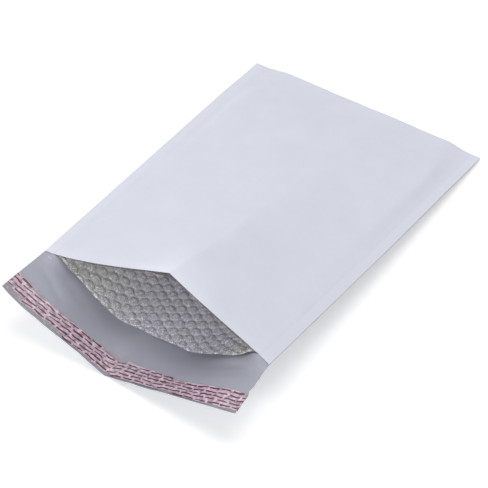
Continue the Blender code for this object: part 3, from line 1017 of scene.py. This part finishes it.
def bubble_plastic(bubbles, fold):
    """Clear film: seen through where it faces the eye, cloudy on the bubbles' sides, with painted
    light and shade in its colour.
    """
    surface = Surface("bubble_plastic")
    flat = surface.flat_map()
    s, v = surface.split(flat)
    fine = surface.noise(flat, scale=640.0, detail=3.0)
    wide = surface.noise(flat, scale=250.0) * WIDE_CREASES
    normal = surface.bump(wide + fine, bubbles.creasing)
    left, right = surface.ramp(s, *WARM_LEFT), surface.ramp(s, *WARM_RIGHT)
    at_ends = surface.math("MAXIMUM", left, right)
    tint = surface.blend(at_ends, bubbles.cool_tint, bubbles.warm_tint)
    # Rows of bubbles are counted from the mouth.
    pads = surface.use("bubble print", {
        "Flat": surface.join(s, v - fold.flap), "Pitch": bubbles.pitch,
    })
    # Painted crumple shading: the colour is made brighter where the fine crease noise that also
    # bumps the surface is high.
    painted_light = surface.ramp(fine, *CRUMPLE_SHADING) * CRUMPLE_LIGHT + CLEAR
    # Painted light between the bubbles and painted highlights on their crowns.
    painted_light += (1.0 - pads["Mask"]) * bubbles.gap_pale + pads["Crown"] * bubbles.crown_pale
    # Painted glints in the colour, brighter along the cut edge.
    glint = surface.ramp(surface.noise(flat, scale=900.0, detail=1.0), *PAINTED_GLINTS)
    by_edge = surface.ramp(v, fold.flap + GLINT_REACH, fold.flap)
    painted_light += glint * (by_edge * bubbles.edge_glint + 1.0) * bubbles.glint
    # Painted shade at the mouth's front edge.
    at_front = surface.ramp(v, *(fold.end - reach for reach in SHADE_REACH))
    shade = at_front * (bubbles.front_shade - 1) + 1.0
    side = surface.add("LayerWeight", {"Blend": 0.4, "Normal": normal})
    surface.give({
        "Base Color": surface.scale(tint, painted_light * shade),
        "Roughness": bubbles.roughness,
        "Alpha": surface.read(side, "Facing") * bubbles.rim_alpha + bubbles.alpha,
    })
    return surface.material


def point_key(s, v, rise, layer):
    """The same for points within about a micrometre of each other."""
    return round(s * 1e6), round(v * 1e6), round(rise * 1e6), layer


def flat_area(corners):
    """Area of a flat polygon."""
    total = 0.0
    for (a, b), (c, d) in zip(corners, corners[1:] + corners[:1]):
        total += a * d - b * c
    return abs(total) / 2


def close_rim(faces, index, places):
    """Adds the thin rim that joins the bubble layer to its backing."""
    directed = set()
    for face in faces:
        directed.update(zip(face, face[1:] + face[:1]))
    rim = []
    for a, b in directed:
        if (b, a) in directed or places[a][3] == 1:
            continue
        rim.append((b, a, *(index[point_key(*places[n][:2], 0.0, 1)] for n in (a, b))))
    return faces + rim


# Facets of the strips along and across them, and the width of their small waves.
STRIP_STEP = 0.0021
STRIP_FINE_STEP = 0.0016
STRIP_WAVE = 0.009
# How cloudy and how rough the adhesive is.
GLUE_CLOUDING = 0.2
GLUE_ROUGHNESS = 0.15


def add_strip(name, node, material, liner, fold, margin, width, depth, thickness, wave, crinkle):
    across = stations(-fold.half, (fold.sizes.flap_crease, STRIP_STEP), (fold.half, STRIP_STEP))
    along = stations(margin, (margin + width, STRIP_FINE_STEP))
    s, v = np.meshgrid(across, along)
    beside_crease = bell(s, liner.crinkle_place, liner.crinkle_reach)
    swell = wave + crinkle * beside_crease * smooth((v - margin) / width)
    lift = np.maximum(swell * (noise_field(s, v, STRIP_WAVE, "strip") + WAVE_SHIFT), 0.0)
    outer = fold.place(s, v, depth + lift)
    inner = fold.place(s, v, depth + thickness + lift)
    mesh = sheet_mesh(name, s, v, outer, inner)
    add_piece(name, mesh, node, (material, material))


class MAILER_OT_adhesive(bpy.types.Operator):
    """Make the adhesive strip"""

    bl_idname = "mailer.adhesive"
    bl_label = "Adhesive Strip"

    def execute(self, context):
        liner, fold = context.scene.mailer_liner, Fold(context.scene.mailer_fold)
        surface, _, grain = grainy_surface("glue", liner.glue, GLUE_CLOUDING, GLUE_ROUGHNESS)
        surface.bump(grain["Height"], FINE_RELIEF)
        add_strip(
            "glue_strip", "adhesive_strip", surface.material, liner, fold, liner.glue_margin,
            liner.glue_width, liner.glue_depth, liner.glue_thickness, wave=0.0, crinkle=0.0,
        )
        return {"FINISHED"}


# From the cut edge, where the crinkle starts and is full, and from a row's middle its halo.
CRINKLED = (0.008, 0.017)
HALO = (0.0028, 0.0013)
# Where halo and painted highlights start and are full, on a scale of noise from 0 to 1.
HALO_MOTTLE = (0.33, 0.52)
PAINTED_HIGHLIGHTS = (0.52, 0.64)
# How much of the halo the crinkle takes away, so that it is painted paler, and how many more
# painted highlights it has.
CRINKLED_BARE = 0.6
CRINKLED_HIGHLIGHTS = 0.09
# How far inside the liner's edges the first and last rows lie, as shares of their pitch.
LOWEST_ROW = 0.1
HIGHEST_ROW = 0.3
# Places across between which the bare edge gets wider towards the left.
BARE_LEFT = (-0.035, -0.075)
# How unevenly bold the dashes are, and how soft the ink's edge is beside and at the end of one.
BOLD_VARIES = 0.35
INK_EDGE = 0.0003
DASH_EDGE = 0.06


class MAILER_OT_liner(bpy.types.Operator):
    """Make the peel-off liner with its rows of dashes"""

    bl_idname = "mailer.liner"
    bl_label = "Release Liner"

    def execute(self, context):
        liner, fold = context.scene.mailer_liner, Fold(context.scene.mailer_fold)
        add_strip(
            "liner_strip", "release_liner", self.printed_film(liner), liner, fold, liner.margin,
            liner.width, liner.depth, liner.thickness, liner.unevenness, liner.crinkle,
        )
        return {"FINISHED"}

    def printed_film(self, liner):
        """Wavy rows of dashes with pink beside them, and painted highlights on the clear film."""
        surface = Surface("liner_film")
        flat = surface.flat_map()
        s, v = surface.split(flat)
        wave = surface.noise(flat, scale=46.0, detail=1.0) - 0.5
        ripple = surface.noise(flat, scale=130.0, detail=1.0) - 0.5
        v = (ripple * liner.ripple + wave) * liner.wave + v
        ink, aside, printed = self.dashes(surface, liner, s, v)
        mottle = surface.noise(flat, scale=230.0, detail=3.0)
        from_crinkle = abs(s - liner.crinkle_place)
        crinkled = surface.ramp(from_crinkle, liner.crinkle_reach * 1.4, 0.0)
        crinkled = crinkled * surface.ramp(v, *CRINKLED)
        halo = surface.ramp(aside, *HALO) * surface.ramp(mottle, *HALO_MOTTLE)
        halo = halo * printed * (1.0 - crinkled * CRINKLED_BARE)
        # Painted highlights, more of them on the crinkle.
        highlights = surface.ramp(crinkled * CRINKLED_HIGHLIGHTS + mottle, *PAINTED_HIGHLIGHTS)
        tone = surface.blend(halo, liner.film, liner.blush)
        tone = surface.blend(highlights * liner.fleck_cover, tone, liner.fleck)
        cover = surface.math("MAXIMUM", surface.math("MAXIMUM", ink, halo), highlights * printed)
        surface.give({
            "Base Color": surface.blend(ink, tone, liner.dash),
            "Roughness": liner.roughness,
            "Alpha": cover * liner.print_alpha + liner.alpha,
        })
        surface.bump(surface.noise(flat, scale=240.0, detail=3.0), liner.relief)
        return surface.material

    def dashes(self, surface, liner, s, v):
        """The dashes' ink, the distance from their row's middle, and where the rows are printed.
        Each dash is whole or left out."""
        row_place = (v - s * liner.slant) / liner.row_pitch
        row = surface.math("FLOOR", row_place)
        aside = abs(surface.math("FRACT", row_place) - 0.5) * liner.row_pitch
        stagger = surface.chance(row, "1D")
        dash_place = stagger + s / liner.dash_pitch
        dash = surface.math("FLOOR", dash_place)
        in_dash = surface.math("FRACT", dash_place)
        dash_s = (dash + 0.5 - stagger) * liner.dash_pitch
        dash_v = (row + 0.5) * liner.row_pitch + dash_s * liner.slant
        bare = surface.ramp(dash_s, *BARE_LEFT) * liner.left_bare
        lowest = bare + liner.margin + liner.row_pitch * LOWEST_ROW
        highest = liner.margin + liner.width - liner.row_pitch * HIGHEST_ROW
        above = surface.math("GREATER_THAN", dash_v, lowest)
        printed = above * surface.math("LESS_THAN", dash_v, highest)
        chance = surface.chance(surface.join(row, dash))
        half_bold = chance * (liner.bold * BOLD_VARIES) + liner.bold / 2
        ink = surface.ramp(aside, half_bold + INK_EDGE, half_bold)
        until = chance * liner.length_varies + liner.shortest
        start = surface.ramp(in_dash, 0.0, DASH_EDGE)
        stop = surface.ramp(in_dash, until + DASH_EDGE, until)
        return ink * start * stop * printed, aside, printed


# Each lamp's name, its place, the point that it shines at, and its width, in metres.
LAMPS = (
    ("key", (-0.06, 0.15, 2.1), (0.0, 0.0, 0.0), 1.3),
    ("fill", (-0.05, -1.6, 0.85), (0.0, -0.12, 0.03), 0.35),
    ("rear", (0.6, 0.5, 1.9), (0.0, 0.0, 0.0), 0.9),
    ("front", (0.9, -1.2, 1.2), (0.0, 0.0, 0.03), 0.5),
    ("side", (-2.1, 0.3, 0.8), (0.0, 0.0, 0.03), 1.0),
)
FLOOR_REACH = 6.0
SENSOR_WIDTH = 36.0


class MAILER_OT_stage(bpy.types.Operator):
    """Make the floor, the lamps and the camera"""

    bl_idname = "mailer.stage"
    bl_label = "Stage"

    def execute(self, context):
        scene = context.scene
        stage = scene.mailer_stage
        self.add_floor(stage)
        self.add_world(scene, stage)
        for name, place, aim, width in LAMPS:
            self.add_lamp(scene, name, place, aim, width, getattr(stage, name))
        self.add_camera(scene, stage)
        scene.view_settings.view_transform = "Standard"
        return {"FINISHED"}

    def add_floor(self, stage):
        mesh = bpy.data.meshes.new("floor")
        reach = FLOOR_REACH
        corners = [(-reach, -reach, 0), (reach, -reach, 0), (reach, reach, 0), (-reach, reach, 0)]
        mesh.from_pydata(corners, [], [(0, 1, 2, 3)])
        floor = bpy.data.objects.new("floor", mesh)
        bpy.context.scene.collection.objects.link(floor)
        surface = Surface("floor_paint")
        surface.give({
            "Base Color": (*stage.floor, 1.0),
            "Roughness": 0.9,
            "Specular IOR Level": 0.0,
            "Emission Color": (1.0, 1.0, 1.0, 1.0),
            "Emission Strength": self.seen_directly(surface) * stage.glow,
        })
        mesh.materials.append(surface.material)

    def seen_directly(self, build):
        """1 for the camera and for what reflects or passes it on, 0 for the light that bounces."""
        path = build.read_all(build.add("LightPath"))
        seen = build.math("MAXIMUM", path["Is Camera Ray"], path["Is Glossy Ray"])
        return build.math("MAXIMUM", seen, path["Is Transmission Ray"])

    def add_world(self, scene, stage):
        world = bpy.data.worlds.new("studio")
        world.use_nodes = True
        build = Nodes(world.node_tree)
        background = world.node_tree.nodes["Background"]
        background.inputs["Color"].default_value = (1.0, 1.0, 1.0, 1.0)
        strength = self.seen_directly(build) * (1.0 - stage.world) + stage.world
        build.put(background.inputs["Strength"], strength)
        scene.world = world

    def add_lamp(self, scene, name, place, aim, width, power):
        light = bpy.data.lights.new(name + "_lamp", "AREA")
        light.shape = "DISK"
        light.size = width
        light.energy = power
        lamp = bpy.data.objects.new(name + "_lamp", light)
        lamp.location = place
        toward = Vector(aim) - Vector(place)
        lamp.rotation_euler = toward.to_track_quat("-Z", "Y").to_euler()
        scene.collection.objects.link(lamp)

    def add_camera(self, scene, stage):
        turn, tilt = math.radians(stage.azimuth), math.radians(stage.elevation)
        back = Vector((
            math.sin(turn) * math.cos(tilt), -math.cos(turn) * math.cos(tilt), math.sin(tilt)
        ))
        data = bpy.data.cameras.new("camera")
        data.lens = stage.lens
        data.sensor_width = SENSOR_WIDTH
        camera = bpy.data.objects.new("camera", data)
        camera.location = Vector(stage.aim) + back * stage.distance
        camera.rotation_euler = back.to_track_quat("Z", "Y").to_euler()
        scene.collection.objects.link(camera)
        scene.camera = camera


class MAILER_PT_panel(bpy.types.Panel):
    """The steps that dress the mailer"""

    bl_idname = "MAILER_PT_panel"
    bl_label = "Bubble Mailer"
    bl_space_type = "VIEW_3D"
    bl_region_type = "UI"
    bl_category = "Bubble Mailer"

    def draw(self, context):
        for operator in OPERATORS:
            self.layout.operator(operator.bl_idname)


GROUPS = {
    "mailer_fold": MailerFold,
    "mailer_film": MailerFilm,
    "mailer_bubbles": MailerBubbles,
    "mailer_liner": MailerLiner,
    "mailer_stage": MailerStage,
}
OPERATORS = (
    MAILER_OT_stage,
    MAILER_OT_film,
    MAILER_OT_bubbles,
    MAILER_OT_adhesive,
    MAILER_OT_liner,
)


def register():
    for kind in (*GROUPS.values(), *OPERATORS, MAILER_PT_panel):
        bpy.utils.register_class(kind)
    for name, kind in GROUPS.items():
        setattr(bpy.types.Scene, name, PointerProperty(type=kind))


def unregister():
    for name in GROUPS:
        delattr(bpy.types.Scene, name)
    for kind in reversed((*GROUPS.values(), *OPERATORS, MAILER_PT_panel)):
        bpy.utils.unregister_class(kind)


def plain(bounds):
    return [[float(value) for value in corner] for corner in bounds]


def main():
    register()
    bpy.ops.mailer.stage()
    bpy.ops.mailer.film()
    bpy.ops.mailer.bubbles()
    bpy.ops.mailer.adhesive()
    bpy.ops.mailer.liner()


if __name__ == "__main__":
    main()
